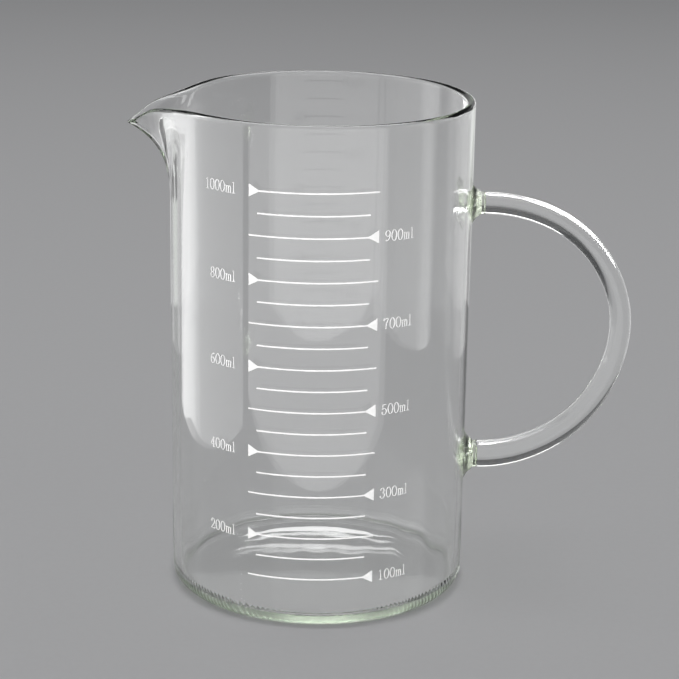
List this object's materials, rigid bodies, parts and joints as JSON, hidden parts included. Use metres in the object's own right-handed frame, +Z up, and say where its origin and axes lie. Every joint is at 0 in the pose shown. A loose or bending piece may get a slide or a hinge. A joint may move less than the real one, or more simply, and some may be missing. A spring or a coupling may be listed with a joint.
{
  "type": "measuring beaker",
  "caption": "Tall cylindrical glass measuring beaker with a pouring spout, a bent rod handle and a printed volume scale.",
  "frame": {"origin": "on the axis of the cylindrical wall, at the flat underside of the base", "axes": "+Z up along the wall's axis, +X towards the handle, -X towards the spout, -Y towards the printed scale"},
  "size_m": [0.1687, 0.1004, 0.1668],
  "materials": {
    "clear_glass": "polished, clear",
    "white_enamel": "satin, fired on"
  },
  "bodies": {
    "root": {"vessel": "clear_glass", "handle_rod": "clear_glass", "upper_weld_collar": "clear_glass", "lower_weld_collar": "clear_glass", "graduation_100ml": "white_enamel", "graduation_150ml": "white_enamel", "graduation_200ml": "white_enamel", "graduation_250ml": "white_enamel", "graduation_300ml": "white_enamel", "graduation_350ml": "white_enamel", "graduation_400ml": "white_enamel", "graduation_450ml": "white_enamel", "graduation_500ml": "white_enamel", "graduation_550ml": "white_enamel", "graduation_600ml": "white_enamel", "graduation_650ml": "white_enamel", "graduation_700ml": "white_enamel", "graduation_750ml": "white_enamel", "graduation_800ml": "white_enamel", "graduation_850ml": "white_enamel", "graduation_900ml": "white_enamel", "graduation_950ml": "white_enamel", "graduation_1000ml": "white_enamel", "label_100ml": "white_enamel", "label_200ml": "white_enamel", "label_300ml": "white_enamel", "label_400ml": "white_enamel", "label_500ml": "white_enamel", "label_600ml": "white_enamel", "label_700ml": "white_enamel", "label_800ml": "white_enamel", "label_900ml": "white_enamel", "label_1000ml": "white_enamel"}
  },
  "joints": []
}
